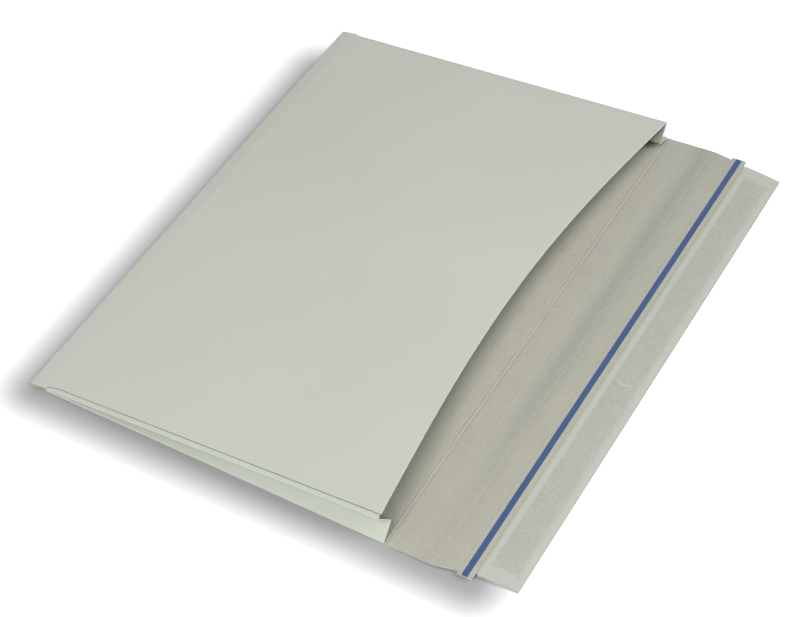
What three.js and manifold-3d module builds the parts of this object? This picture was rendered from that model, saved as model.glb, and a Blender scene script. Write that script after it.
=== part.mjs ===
// A solid-board mailer with folding side gussets, lying on its back with the closing flap open.
// The whole carton is one die-cut blank. It is folded at the closed edge, glued along both
// gussets, and creased past the mouth into a depth wall and a closing flap.
// Millimetres, +Z up. While the parts are drawn, x runs from the closed edge towards the flap
// and y runs across the width from the near side. The group centres them on the footprint.

import * as THREE from "three";
import { mergeVertices } from "three/addons/utils/BufferGeometryUtils.js";
import Module from "manifold-3d";

const wasm = await Module();
wasm.setup();

// Board
const boardThickness = 0.6;
const layerGap = 0.12; // air left between two layers that are folded flat on each other
const glueBite = 0.05; // how far glued layers press into each other

// Pocket
const pocketWidth = 353;
const pocketDepth = 250;
const mouthHeightNear = 24.1; // top of the front panel at its two mouth corners
const mouthHeightFar = 15.2;
const mouthSetback = 0.9; // the raised front panel ends this far short of the back fold
const mouthCurve = 15.5; // depth of the shallow hand cut across the mouth

// Closed edge
const closedFoldRadius = 0.6; // to the middle of the board
const frontCrease = 11; // from the closed edge to the crease on the front panel

// Gussets
const gussetStart = 12.5; // from the closed edge
const gussetHalf = 15; // flat width of each of the two folds of a gusset
const panelInset = 3; // the front panel's cut edge lies this far inside the gusset's fold
const panelCornerLength = 12.5; // length of the rounded corner where that cut edge begins
const flangeWidth = 14;
const flangeChamfer = 5;
const slit = 0.3; // width of the die-cut slits beside the gussets
const rootLength = 2; // the gusset's root reaches this far into the back panel that it is part of

// Score lines
const scoreDepth = 0.14;
const scoreWidth = 1.2;
const doubleScoreGap = 2.3; // the mouth crease is a pair of scores this far apart

// Depth wall, from the mouth crease to the flap crease
const mouthCreaseOffset = 1; // the mouth crease lies this far past the gussets' ends
const wallDepth = 30.5;
const middleScore = 15.2; // second crease, for a thin filling
const wallRise = 1.1; // how far the relaxed flap crease stands off the table

// Closing flap
const flapDepth = 48.4;
const flapCrest = 2.2; // how far the tear strip stands off the table
const flapTaper = 2.7; // the flap narrows by this much on each side up to the tear strip
const sealInsetInner = 4.7; // inset of the seal strip's sides, beside the tear strip
const sealInsetOuter = 6.2; // and at the flap's outer edge

// Tear strip and its tape
const tearCentre = 18.6; // from the flap crease
const tearWidth = 9.1;
const tearTabInset = 0.8; // the tabs end this far inside the pocket's width
const tearNotchDepth = 1.2; // how far the notch beside each tab cuts past the seal strip's side
const tearNotchWidth = 1.2;
const perforationWidth = 0.4;
const perforationDepth = 0.25;
const tapeWidth = 3.6;
const tapeThickness = 0.1;
const tapeEndInset = 0.3; // the tape stops this far short of the tabs' ends

// Adhesive band and its liner
const linerStart = 24.6; // from the flap crease
const linerEdgeInset = 0.3;
const linerThickness = 0.08;
const adhesiveInset = 5.4; // from the liner's inner edge
const adhesiveWidth = 13.8;
const adhesiveEndInset = 15; // from each side of the pocket
const adhesiveThickness = 0.12;
const filmGap = 0.03; // between a film and what it lies on

// Smoothness of the facets
const columnsAcross = 28;
const rowsAlongPanel = 8;
const cornerSteps = 5;
const closedFoldSteps = 8;
const gussetStations = 10;
const gussetFoldSteps = 4;
const flapSteps = 12;

// Worked out from the sizes above
const halfBoard = boardThickness / 2;
const tightRadius = (boardThickness + layerGap) / 2; // to the middle of the board in a flat fold
const foldInset = tightRadius + halfBoard; // from a flat fold's outside to the end of its bend
const mouthCrease = pocketDepth + mouthCreaseOffset;
const innerScore = mouthCrease - doubleScoreGap;
const flapCrease = mouthCrease + wallDepth;
const flapEnd = flapCrease + flapDepth;
const tearMiddle = flapCrease + tearCentre;
const tearInner = tearMiddle - tearWidth / 2;
const tearOuter = tearMiddle + tearWidth / 2;

const whiteBoard = new THREE.MeshStandardMaterial({ color: 0xc8ccc0, roughness: 0.75, metalness: 0 });
const kraftBoard = new THREE.MeshStandardMaterial({ color: 0xb2b09e, roughness: 0.85, metalness: 0 });
const blueTape = new THREE.MeshStandardMaterial({ color: 0x3d5c9c, roughness: 0.4, metalness: 0 });
const glue = new THREE.MeshStandardMaterial({ color: 0xb4b4a6, roughness: 0.5, metalness: 0 });
const linerPaper = new THREE.MeshStandardMaterial({ color: 0xc2c6bc, roughness: 0.35, metalness: 0 });

// A closed mesh as a solid, for joining and cutting.
function solidFrom(geometry) {
  const bare = geometry.clone();
  bare.deleteAttribute("normal");
  bare.deleteAttribute("uv");
  const merged = mergeVertices(bare, 1e-4);
  const vertProperties = new Float32Array(merged.attributes.position.array);
  const triVerts = new Uint32Array(merged.index.array);
  return new wasm.Manifold(new wasm.Mesh({ numProp: 3, vertProperties, triVerts }));
}

// A solid back as a three.js geometry with flat faces.
function geometryFrom(solid) {
  const mesh = solid.getMesh();
  const geometry = new THREE.BufferGeometry();
  geometry.setAttribute("position", new THREE.BufferAttribute(new Float32Array(mesh.vertProperties), 3));
  geometry.setIndex(new THREE.BufferAttribute(new Uint32Array(mesh.triVerts), 1));
  const flat = geometry.toNonIndexed();
  flat.computeVertexNormals();
  return flat;
}

// A bent board from a grid of points. pointAt gives the point of a row and a column on face 0 or
// face 1, and face 1 is the one that the row and column directions' cross product points to.
function boardFromGrid(rows, columns, mirrored, pointAt) {
  const positions = [];
  const index = [];
  const at = (row, column, face) => (row * columns + column) * 2 + face;
  const quad = (a, b, c, d) => {
    if (mirrored) index.push(a, c, b, a, d, c);
    else index.push(a, b, c, a, c, d);
  };
  for (let row = 0; row < rows; row++) {
    for (let column = 0; column < columns; column++) {
      positions.push(...pointAt(row, column, 0), ...pointAt(row, column, 1));
    }
  }
  for (let r = 0; r < rows - 1; r++) {
    for (let c = 0; c < columns - 1; c++) {
      quad(at(r, c, 1), at(r + 1, c, 1), at(r + 1, c + 1, 1), at(r, c + 1, 1));
      quad(at(r, c, 0), at(r, c + 1, 0), at(r + 1, c + 1, 0), at(r + 1, c, 0));
    }
  }
  const lastColumn = columns - 1;
  for (let r = 0; r < rows - 1; r++) {
    quad(at(r, 0, 0), at(r + 1, 0, 0), at(r + 1, 0, 1), at(r, 0, 1));
    quad(at(r, lastColumn, 0), at(r, lastColumn, 1), at(r + 1, lastColumn, 1), at(r + 1, lastColumn, 0));
  }
  const lastRow = rows - 1;
  for (let c = 0; c < columns - 1; c++) {
    quad(at(0, c, 0), at(0, c, 1), at(0, c + 1, 1), at(0, c + 1, 0));
    quad(at(lastRow, c, 0), at(lastRow, c + 1, 0), at(lastRow, c + 1, 1), at(lastRow, c, 1));
  }
  const geometry = new THREE.BufferGeometry();
  geometry.setAttribute("position", new THREE.Float32BufferAttribute(positions, 3));
  geometry.setIndex(index);
  return geometry;
}

// A side profile, drawn in x and z, carried across the width from y = from to y = to.
function profileAcross(points, from, to) {
  const shape = new THREE.Shape(points.map(([x, z]) => new THREE.Vector2(x, z)));
  const geometry = new THREE.ExtrudeGeometry(shape, { depth: to - from, bevelEnabled: false });
  geometry.rotateX(Math.PI / 2);
  geometry.translate(0, to, 0);
  return geometry;
}

// A die cutter: an outline in x and y, tall enough to pass through everything near the table.
function dieCut(points) {
  const reach = 20;
  const shape = new THREE.Shape(points.map(([x, y]) => new THREE.Vector2(x, y)));
  const geometry = new THREE.ExtrudeGeometry(shape, { depth: 2 * reach, bevelEnabled: false });
  geometry.translate(0, 0, -reach);
  return geometry;
}

// The same outline on the far side, so that a list of near points closes into a symmetric shape.
function closeAcross(nearPoints) {
  const farPoints = nearPoints.map(([x, y]) => [x, pocketWidth - y]).reverse();
  return [...nearPoints, ...farPoints];
}

// Front panel

// Where the gussets start, five layers of board lie flat on each other, glued only at the top.
const stackMiddle = halfBoard + 6 * tightRadius + boardThickness - glueBite;

// Slope of the front panel's middle surface along x, at a place across the width.
function panelSlope(y) {
  const mouthHeight = THREE.MathUtils.lerp(mouthHeightNear, mouthHeightFar, y / pocketWidth);
  return (mouthHeight - halfBoard - stackMiddle) / (pocketDepth - gussetStart);
}

// Height of the front panel's middle surface.
function panelMiddle(x, y) {
  return stackMiddle + (x - gussetStart) * panelSlope(y);
}

// The mouth's edge: a shallow hand cut, deepest in the middle.
function mouthEdge(across) {
  return pocketDepth - mouthSetback - mouthCurve * Math.sin(Math.PI * across);
}

// The stations of the folded sheet, from the mouth crease along the back, round the closed edge
// and along the front to the mouth. Each has its inset from the pocket's sides, its place along
// x for a share of the width, and what makes its middle point and its outward direction.
const backX = [
  { x: mouthCrease, inset: 0, dip: [scoreDepth, 0] },
  { x: mouthCrease - scoreWidth / 2, inset: 0 },
  { x: pocketDepth + slit, inset: 0 },
  { x: pocketDepth, inset: foldInset },
  { x: innerScore + scoreWidth / 2, inset: foldInset },
  { x: innerScore, inset: foldInset, dip: [scoreDepth, 0] },
  { x: innerScore - scoreWidth / 2, inset: foldInset },
  { x: gussetStart, inset: foldInset },
  { x: gussetStart - slit, inset: 0 },
];

function closedFold(y) {
  const centre = new THREE.Vector2(closedFoldRadius + halfBoard, halfBoard + closedFoldRadius);
  const crease = new THREE.Vector2(frontCrease, panelMiddle(frontCrease, y));
  const reach = crease.clone().sub(centre);
  const lean = reach.angle() - Math.asin(closedFoldRadius / reach.length());
  return { centre, lean };
}

function wrapRow(row, across) {
  if (row < backX.length) {
    const { x, inset, dip = [0, 0] } = backX[row];
    return { x, z: halfBoard, out: [0, -1], inset, dip };
  }
  row -= backX.length;
  const { centre, lean } = closedFold(across * pocketWidth);
  if (row <= closedFoldSteps) {
    const turn = -Math.PI / 2 - (row / closedFoldSteps) * (Math.PI - lean);
    const out = [Math.cos(turn), Math.sin(turn)];
    const x = centre.x + closedFoldRadius * out[0];
    const z = centre.y + closedFoldRadius * out[1];
    return { x, z, out, inset: 0, dip: [0, 0] };
  }
  row -= closedFoldSteps + 1;
  const slope = panelSlope(across * pocketWidth);
  const upright = [-slope / Math.hypot(slope, 1), 1 / Math.hypot(slope, 1)];
  const onPanel = (x, inset, dip = 0) => ({
    x,
    z: panelMiddle(x, across * pocketWidth),
    out: upright,
    inset,
    dip: [0, dip],
  });
  const creaseX = [frontCrease, frontCrease + scoreWidth / 2];
  if (row < creaseX.length) return onPanel(creaseX[row], 0, row === 0 ? scoreDepth : 0);
  row -= creaseX.length;
  const cornerEnd = gussetStart + panelCornerLength;
  if (row <= cornerSteps) {
    const turn = ((row / cornerSteps) * Math.PI) / 2;
    return onPanel(cornerEnd - panelCornerLength * Math.cos(turn), panelInset * Math.sin(turn));
  }
  row -= cornerSteps;
  return onPanel(THREE.MathUtils.lerp(cornerEnd, mouthEdge(across), row / rowsAlongPanel), panelInset);
}

const wrapRows = backX.length + closedFoldSteps + 1 + 2 + cornerSteps + 1 + rowsAlongPanel;

function wrappedSheet() {
  return boardFromGrid(wrapRows, columnsAcross + 1, false, (row, column, face) => {
    const across = column / columnsAcross;
    const { x, z, out, inset, dip } = wrapRow(row, across);
    const y = THREE.MathUtils.lerp(inset, pocketWidth - inset, across);
    const offset = face === 1 ? halfBoard - dip[1] : -halfBoard + dip[0];
    return [x + offset * out[0], y, z + offset * out[1]];
  });
}

// Gussets

// One gusset's section at a station: the middle line from a tongue inside the back panel, round
// the bottom fold, in along the lower half, round the inner fold, out along the upper half, round
// the top fold and in along the glue flange. q is the distance inwards from the pocket's side.
function gussetSection(station, side) {
  const share = (station - gussetStart) / (pocketDepth - gussetStart);
  const yAt = (q) => (side === "near" ? q : pocketWidth - q);
  const slope = panelSlope(yAt(foldInset));
  const mouthTop = side === "near" ? mouthHeightNear : mouthHeightFar;
  const pull = mouthSetback / mouthTop;
  const flangeDrop = boardThickness - glueBite;
  const flangeHeight = (stackMiddle - flangeDrop + slope * (station - gussetStart)) / (1 + pull * slope);
  const straight = gussetHalf - 2 * tightRadius - boardThickness;
  const rise = flangeHeight - halfBoard;
  const reach = Math.hypot(2 * straight, 4 * tightRadius);
  const tilt = Math.asin((rise - 2 * tightRadius) / reach) - Math.atan2(4 * tightRadius, 2 * straight);
  const line = [];
  const arc = (q, z, from, to) => {
    for (let step = 0; step <= gussetFoldSteps; step++) {
      const turn = THREE.MathUtils.lerp(from, to, step / gussetFoldSteps);
      const away = to < from ? 1 : -1;
      line.push({
        q: q + tightRadius * Math.cos(turn),
        z: z + tightRadius * Math.sin(turn),
        out: [away * Math.cos(turn), away * Math.sin(turn)],
        half: halfBoard,
      });
    }
  };
  const quarter = Math.PI / 2;
  const bottomZ = halfBoard + tightRadius;
  const innerQ = foldInset + straight * Math.cos(tilt) - 2 * tightRadius * Math.sin(tilt);
  const innerZ = bottomZ + straight * Math.sin(tilt) + 2 * tightRadius * Math.cos(tilt);
  const topZ = 2 * innerZ - bottomZ;
  line.push({ q: foldInset + rootLength, z: halfBoard, out: [0, -1], half: halfBoard / 2 });
  arc(foldInset, bottomZ, -quarter, -3 * quarter + tilt);
  arc(innerQ, innerZ, tilt - quarter, quarter - tilt);
  arc(foldInset, topZ, 3 * quarter - tilt, quarter);
  const flangeStation = THREE.MathUtils.lerp(gussetStart + flangeChamfer, pocketDepth - flangeChamfer, share);
  const flangeQ = foldInset + flangeWidth;
  const flangeX = flangeStation - mouthSetback * share;
  const flangeZ = panelMiddle(flangeX, yAt(flangeQ)) - flangeDrop;
  const section = line.map((p) => ({ ...p, x: station - pull * p.z }));
  section.push({ x: flangeX, q: flangeQ, z: flangeZ, out: [0, 1], half: halfBoard });
  return section.map((p) => ({ ...p, y: yAt(p.q), across: side === "near" ? 1 : -1 }));
}

function gusset(side) {
  const sections = [];
  for (let i = 0; i <= gussetStations; i++) {
    const station = THREE.MathUtils.lerp(gussetStart, pocketDepth, i / gussetStations);
    sections.push(gussetSection(station, side));
  }
  return boardFromGrid(sections.length, sections[0].length, side === "far", (row, column, face) => {
    const p = sections[row][column];
    const offset = face === 1 ? p.half : -p.half;
    return [p.x, p.y + offset * p.out[0] * p.across, p.z + offset * p.out[1]];
  });
}

function pocketBoard() {
  const sheet = solidFrom(wrappedSheet());
  return geometryFrom(sheet.add(solidFrom(gusset("near"))).add(solidFrom(gusset("far"))));
}

// Depth wall and closing flap

// Height of the underside of the wall and the flap above the table.
function undersideHeight(x) {
  if (x <= flapCrease) return (wallRise * (x - mouthCrease)) / wallDepth;
  if (x <= tearMiddle) {
    const left = (tearMiddle - x) / tearCentre;
    return THREE.MathUtils.lerp(flapCrest, wallRise, left * left);
  }
  const gone = (x - tearMiddle) / (flapEnd - tearMiddle);
  return flapCrest * (1 - gone * gone);
}

// A strip's side profile along the wall or flap: lifts above the underside, with grooves pressed
// into the top. A groove is its place, its width and its depth.
function stripProfile(from, to, low, high, grooves = []) {
  const stations = new Set([from, to]);
  for (let step = 0; step <= flapSteps; step++) {
    const x = THREE.MathUtils.lerp(flapCrease, flapEnd, step / flapSteps);
    if (x > from && x < to) stations.add(x);
  }
  const level = [...stations].sort((a, b) => a - b);
  const isClear = (x) => grooves.every((groove) => Math.abs(x - groove.x) > groove.width / 2);
  const top = level.filter(isClear).map((x) => [x, undersideHeight(x) + high]);
  for (const { x, width, depth } of grooves) {
    for (const at of [x - width / 2, x, x + width / 2]) {
      if (at < from || at > to) continue;
      top.push([at, undersideHeight(at) + high - (at === x ? depth : 0)]);
    }
  }
  top.sort((a, b) => a[0] - b[0]);
  const underside = level.map((x) => [x, undersideHeight(x) + low]);
  return [...underside, ...top.reverse()];
}

function score(x) {
  return { x, width: scoreWidth, depth: scoreDepth };
}

function depthWall() {
  const scores = [score(mouthCrease), score(mouthCrease + middleScore), score(flapCrease)];
  return profileAcross(stripProfile(mouthCrease, flapCrease, 0, boardThickness, scores), 0, pocketWidth);
}

function closureFlap() {
  const perforation = (x) => ({ x, width: perforationWidth, depth: perforationDepth });
  const grooves = [score(flapCrease), perforation(tearInner), perforation(tearOuter)];
  const strip = profileAcross(stripProfile(flapCrease, flapEnd, 0, boardThickness, grooves), 0, pocketWidth);
  const outline = closeAcross([
    [flapEnd, sealInsetOuter],
    [flapCrease + linerStart, sealInsetInner],
    [tearOuter + tearNotchWidth / 4, sealInsetInner + tearNotchDepth],
    [tearOuter, tearTabInset],
    [tearInner, tearTabInset],
    [tearInner, flapTaper],
    [flapCrease, 0],
  ].reverse());
  return geometryFrom(solidFrom(strip).intersect(solidFrom(dieCut(outline))));
}

// Films on the flap

function tearTape() {
  const low = boardThickness + filmGap;
  const profile = stripProfile(tearMiddle - tapeWidth / 2, tearMiddle + tapeWidth / 2, low, low + tapeThickness);
  const end = tearTabInset + tapeEndInset;
  return profileAcross(profile, end, pocketWidth - end);
}

const linerInner = flapCrease + linerStart;
const adhesiveInner = linerInner + adhesiveInset;
const adhesiveTop = boardThickness + filmGap + adhesiveThickness;

function adhesiveBand() {
  const low = boardThickness + filmGap;
  const profile = stripProfile(adhesiveInner, adhesiveInner + adhesiveWidth, low, adhesiveTop);
  return profileAcross(profile, adhesiveEndInset, pocketWidth - adhesiveEndInset);
}

function releaseLiner() {
  const low = adhesiveTop + filmGap;
  const outer = flapEnd - linerEdgeInset;
  const sheet = profileAcross(stripProfile(linerInner, outer, low, low + linerThickness), 0, pocketWidth);
  const outline = closeAcross([
    [linerInner, sealInsetInner + linerEdgeInset],
    [outer, sealInsetOuter + linerEdgeInset],
  ]);
  return geometryFrom(solidFrom(sheet).intersect(solidFrom(dieCut(outline))));
}

// The mailer

const mailer = new THREE.Group();

function addPart(name, geometry, material) {
  const mesh = new THREE.Mesh(geometry, material);
  mesh.name = name;
  mailer.add(mesh);
}

addPart("pocket_board", pocketBoard(), whiteBoard);
addPart("depth_wall", depthWall(), kraftBoard);
addPart("closure_flap", closureFlap(), kraftBoard);
addPart("tear_tape", tearTape(), blueTape);
addPart("adhesive_band", adhesiveBand(), glue);
addPart("release_liner", releaseLiner(), linerPaper);

mailer.position.set(-flapEnd / 2, -pocketWidth / 2, 0);

export default mailer;
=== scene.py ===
"""Board mailer with side gussets, lying open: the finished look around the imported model."""

import math

import bpy
from mathutils import Matrix, Vector


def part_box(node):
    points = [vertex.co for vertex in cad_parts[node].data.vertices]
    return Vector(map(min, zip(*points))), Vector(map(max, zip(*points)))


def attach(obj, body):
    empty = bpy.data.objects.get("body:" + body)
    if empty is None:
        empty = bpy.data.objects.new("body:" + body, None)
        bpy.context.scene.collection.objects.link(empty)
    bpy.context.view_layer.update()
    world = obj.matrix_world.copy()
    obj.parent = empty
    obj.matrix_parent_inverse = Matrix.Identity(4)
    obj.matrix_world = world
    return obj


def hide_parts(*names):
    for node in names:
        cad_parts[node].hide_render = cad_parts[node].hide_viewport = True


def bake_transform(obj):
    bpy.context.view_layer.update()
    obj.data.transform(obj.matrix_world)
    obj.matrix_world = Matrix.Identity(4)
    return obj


bl_info = {
    "name": "Board Mailer",
    "version": (1, 0, 0),
    "blender": (4, 5, 0),
    "location": "View3D > Sidebar > Mailer",
    "description": "Models a gusseted board mailer, its tear strip and its seal band",
    "category": "Object",
}

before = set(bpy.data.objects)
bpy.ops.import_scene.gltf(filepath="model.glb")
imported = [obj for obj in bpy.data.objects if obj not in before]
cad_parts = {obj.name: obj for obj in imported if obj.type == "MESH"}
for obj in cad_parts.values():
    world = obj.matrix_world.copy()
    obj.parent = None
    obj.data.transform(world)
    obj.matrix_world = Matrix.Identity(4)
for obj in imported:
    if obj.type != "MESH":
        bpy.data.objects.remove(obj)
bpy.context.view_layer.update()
MM = 0.001

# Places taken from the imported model
POCKET_LOW, POCKET_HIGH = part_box("pocket_board")
WALL_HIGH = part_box("depth_wall")[1]
FLAP_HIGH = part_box("closure_flap")[1]
TAPE_LOW, TAPE_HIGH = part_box("tear_tape")
ADHESIVE_LOW, ADHESIVE_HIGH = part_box("adhesive_band")
LINER_LOW, LINER_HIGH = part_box("release_liner")
CLOSED_EDGE = POCKET_LOW.x
NEAR_SIDE = POCKET_LOW.y
WIDTH = POCKET_HIGH.y - POCKET_LOW.y
MOUTH_CREASE = POCKET_HIGH.x
FLAP_CREASE = WALL_HIGH.x
FLAP_END = FLAP_HIGH.x

# Pocket
MOUTH_OFFSET = 1.0 * MM
POCKET_END = MOUTH_CREASE - MOUTH_OFFSET
GUSSET_START = CLOSED_EDGE + 12.5 * MM
FRONT_CREASE = CLOSED_EDGE + 11.0 * MM
FRONT_SCORE_SHARE = 1 / 3  # the front crease is shallower than the others
CORNER_LENGTH = 12.5 * MM
FLANGE_WIDTH = 14.0 * MM
FLANGE_CHAMFER = 5.0 * MM
LAYER_GAP = 0.12 * MM
GLUE_BITE = 0.05 * MM
SLIT = 0.3 * MM
ROOT_LENGTH = 2.0 * MM
CLOSED_FOLD_RADIUS = 0.6 * MM
CLOSED_FOLD_LEAD = 4.0 * MM

# Score lines
SCORE_WIDTH = 1.2 * MM
HALF_SCORE = SCORE_WIDTH / 2
SCORE_SHOULDER = 0.6  # depth of a groove halfway up its side, as a share of its full depth
SCORE_SUPPORT = 1.3  # cut beside a groove that keeps the board next to it flat, in half widths
SCORE_CUTS = (-0.65, -0.5, -0.25, 0, 0.25, 0.5, 0.65)  # cuts over a groove, in widths
FRONT_START = FRONT_CREASE - HALF_SCORE * SCORE_SUPPORT
DOUBLE_SCORE_GAP = 2.3 * MM
MIDDLE_SCORE = MOUTH_CREASE + 15.2 * MM

# Flap
TEAR_MIDDLE = (TAPE_LOW.x + TAPE_HIGH.x) / 2
TEAR_WIDTH = 9.1 * MM
TEAR_INNER = TEAR_MIDDLE - TEAR_WIDTH / 2
TEAR_OUTER = TEAR_MIDDLE + TEAR_WIDTH / 2
FLAP_TAPER = 2.7 * MM
TAB_INSET = 0.8 * MM
NOTCH_INSET = 5.9 * MM
NOTCH_REACH = 0.3 * MM
SEAL_INSET_INNER = 4.7 * MM
SEAL_INSET_OUTER = 6.2 * MM
PERFORATION_WIDTH = 0.4 * MM
PERFORATION_DEPTH = 0.22 * MM
PERFORATION_CLEARANCE = 1 * MM

# Films on the flap
FILM_GAP = 0.03 * MM
TAPE_THICKNESS = 0.10 * MM
GLUE_THICKNESS = 0.12 * MM
LINER_THICKNESS = 0.08 * MM
LINER_DRAPE = 2.5 * MM  # the liner sinks from the glue to the board over this width
LINER_TURN = 3.0 * MM
WRINKLE_PLACE = Vector((151.5 * MM, -20.5 * MM))
WRINKLE_HALF = 5.5 * MM
WRINKLE_BOW = 0.35

# Surface marks
CREASE_FADE = 130 * MM  # the creases and their marks (worn pale lines, painted shade in the grooves) fade out towards the near side over this length
MOUTH_LINE = 0.4 * MM  # width of the pale line along the mouth's cut edge, partly worn fibres and partly painted highlight
GUSSET_SHADE = 0.80  # painted shade: tone of the gussets' inner side against the rest of the bare board, as shade inside the pocket

# Rows and columns of faces
PANEL_ROWS = 64
PANEL_COLUMNS = 128
BACK_STEPS = 12
CORNER_STEPS = 8
FOLD_STEPS = 14
LEAD_STEPS = 3  # from the closed edge's bend to the front crease
GUSSET_ROWS = 48
GUSSET_FOLD_STEPS = 8
GUSSET_HALF_STEPS = 6
FLANGE_STEPS = 4
FLAP_STEPS = 16
STRIP_COLUMNS = 24
FILM_STEPS = 8
FILM_COLUMNS = 60
WELD = 0.002 * MM
TOUCH = 0.01 * MM  # places closer than this are the same place
SMOOTH_ANGLE = math.radians(38)

# Material slots of a board piece, and how squarely a face has to look their way to get them
FACE, BACKING, CUT, SEAM_SHADE, MOUTH = range(5)
FLAT_FACING, SEAM_FACING, MOUTH_FACING = 0.5, 0.6, 0.7

# Camera, in the frame's metres and degrees
CAMERA_PLACE = Vector((0.4597, -0.6217, 0.8401))
CAMERA_ELEVATION = 48.24
CAMERA_TURN = 37.39
CAMERA_ROLL = 8.35
CAMERA_FOCAL_PIXELS = 1860
PICTURE_WIDTH_PIXELS = 800
SENSOR_WIDTH = 36.0

# Light: name, place, size in metres, power in watts and colour of each lamp
LAMPS = (
    ("key", (0.15, -1.26, 1.50), 0.9, 21.9, (1.0, 0.985, 0.97)),
    ("overhead", (0.85, 0.0, 1.5), 1.0, 7.5, (1.0, 1.0, 1.0)),
    ("right_fill", (1.35, 0.25, 0.95), 0.7, 8.2, (1.0, 1.0, 1.0)),
)
WORLD_LIGHT = 0.20

# Floor: its glow rises to white with the distance, and its painted soft shade lies within four
# sides
FLOOR_SIZE = 12.0
FLOOR_DROP = 0.2 * MM
FLOOR_GLOW = 0.40
GLOW_START, GLOW_END = 0.5, 1.6
FLOOR_SHADE = 0.675
SHADE_SIDES = (
    ("Y", NEAR_SIDE - 38 * MM, NEAR_SIDE),
    ("X", CLOSED_EDGE - 36 * MM, CLOSED_EDGE + 8 * MM),
    ("X", FLAP_END + 14 * MM, FLAP_END - 26 * MM),
    ("Y", NEAR_SIDE + WIDTH - 2 * MM, NEAR_SIDE + WIDTH - 40 * MM),
)

# Scales of the noise in the materials, per metre
STREAKS = ((0.5, (420, 1500, 900)), (-0.9, (1400, 380, 900)), (1.9, (600, 2100, 1000)))
SPECK_SCALE = 620.0
GRAIN_SCALE = 1500.0
WEAR_SCALE = 90.0
RAGGED_SCALE = 260.0
GLUE_PATCH_SCALE = 640.0
GLUE_BROAD_SCALE = 95.0
TAPE_DRAW_SCALE = (2600, 30, 400)
LINER_GRAIN_SCALE = 1100.0

# Creases: the values of each, a line's fade in widths, and the painted shade in the groove (the
# pale line is wear, the dark line is painted shade)
CREASE_INPUTS = (
    "Pale Place", "Dark Place", "Width", "Pale Amount", "Dark Amount", "Near Amount", "Evenness",
)
LINE_FADE = (0.85, 0.2)
GROOVE_SHADE_STRENGTH = 0.40
GROOVE_SHADE_COLOUR = (0.12, 0.12, 0.10, 1.0)


def length_property(name, description, millimetres):
    return bpy.props.FloatProperty(
        name=name, description=description, default=millimetres * MM, unit="LENGTH"
    )


def colour_property(name, description, default):
    return bpy.props.FloatVectorProperty(
        name=name, description=description, default=default, size=3, min=0.0, max=1.0,
        subtype="COLOR_GAMMA",
    )


class MailerSizes(bpy.types.PropertyGroup):
    """Sizes of the board and of how far the mailer stands open."""

    board: length_property("Board", "Thickness of the solid board", 0.6)
    gusset_half: length_property("Gusset Half", "Flat width of each fold of a gusset", 15.0)
    panel_inset: length_property("Panel Inset", "From a gusset's fold to the panel's edge", 3.0)
    mouth_near: length_property("Mouth Height, Near", "Front panel, near corner", 24.1)
    mouth_far: length_property("Mouth Height, Far", "Front panel, far corner", 15.2)
    mouth_curve: length_property("Mouth Curve", "Depth of the hand cut across the mouth", 15.5)
    mouth_setback: length_property(
        "Mouth Setback", "How far the raised panel ends short of the back's fold", 0.9
    )
    panel_sway: length_property(
        "Panel Sway", "How far the front panel sways off its ruled surface at the mouth", 1.4
    )
    fold_forward: length_property(
        "Fold Forward", "How far a gusset's inner fold stands forward at the mouth", 1.3
    )
    score_depth: length_property("Score Depth", "How deep the creases are pressed", 0.2)
    wall_rise: length_property("Wall Rise", "How far the flap crease stands off the table", 1.1)
    flap_crest: length_property("Flap Crest", "How far the tear strip stands off the table", 2.2)


class MailerColours(bpy.types.PropertyGroup):
    """Colours of the board and of the films on the flap."""

    outside: colour_property("Outside", "Coated outer face of the board", (0.788, 0.806, 0.768))
    inside: colour_property("Inside", "Bare inner face of the board", (0.715, 0.713, 0.667))
    inside_dark: colour_property("Inside Dark", "Dark fibres, bare face", (0.560, 0.552, 0.490))
    edge: colour_property("Edge", "Cut edge of the board", (0.80, 0.80, 0.75))
    # Partly wear, partly painted highlight: the mouth's cut edges are paler than the other cut
    # edges.
    mouth_edge: colour_property("Mouth Edge", "Worn cut edges round the mouth", (0.90, 0.90, 0.86))
    front_crease: colour_property("Front Crease", "Front panel's worn crease", (0.86, 0.87, 0.83))
    crease: colour_property("Crease", "Worn creases of the bare face", (0.82, 0.825, 0.78))
    tape: colour_property("Tape", "Tear tape", (0.215, 0.335, 0.520))
    # Painted shade: the dark line of shade in the glued seam along the front panel's sides.
    seam: colour_property("Seam", "Glue seam along the front panel's sides", (0.46, 0.46, 0.42))
    adhesive: colour_property("Adhesive", "Seal glue, where it is thick", (0.585, 0.585, 0.535))
    liner: colour_property("Liner", "Silicone paper", (0.727, 0.738, 0.705))
    liner_edge: colour_property("Liner Edge", "Turned-in edge of the liner", (0.733, 0.744, 0.712))
    seal_dark: colour_property("Seal Dark", "Thick glue, through the liner", (0.655, 0.664, 0.625))
    seal_light: colour_property("Seal Light", "Thin glue, through the liner", (0.705, 0.714, 0.678))
    floor: colour_property("Floor", "Pale floor", (0.965, 0.97, 0.98))


def sizes():
    return bpy.context.scene.mailer_sizes


def colours():
    return bpy.context.scene.mailer_colours


def linear(colour):
    """A screen colour as the linear values that a shader takes."""
    return (
        *(c / 12.92 if c <= 0.04045 else ((c + 0.055) / 1.055) ** 2.4 for c in colour), 1.0
    )


def mix(a, b, share):
    return a + (b - a) * share


# Shader node groups

GREY = (0.5, 0.5, 0.5, 1.0)


def feed(tree, value, socket):
    """Links a node's output to a socket, or sets the socket to a plain value."""
    if isinstance(value, bpy.types.NodeSocket):
        tree.links.new(value, socket)
    else:
        socket.default_value = value


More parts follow.
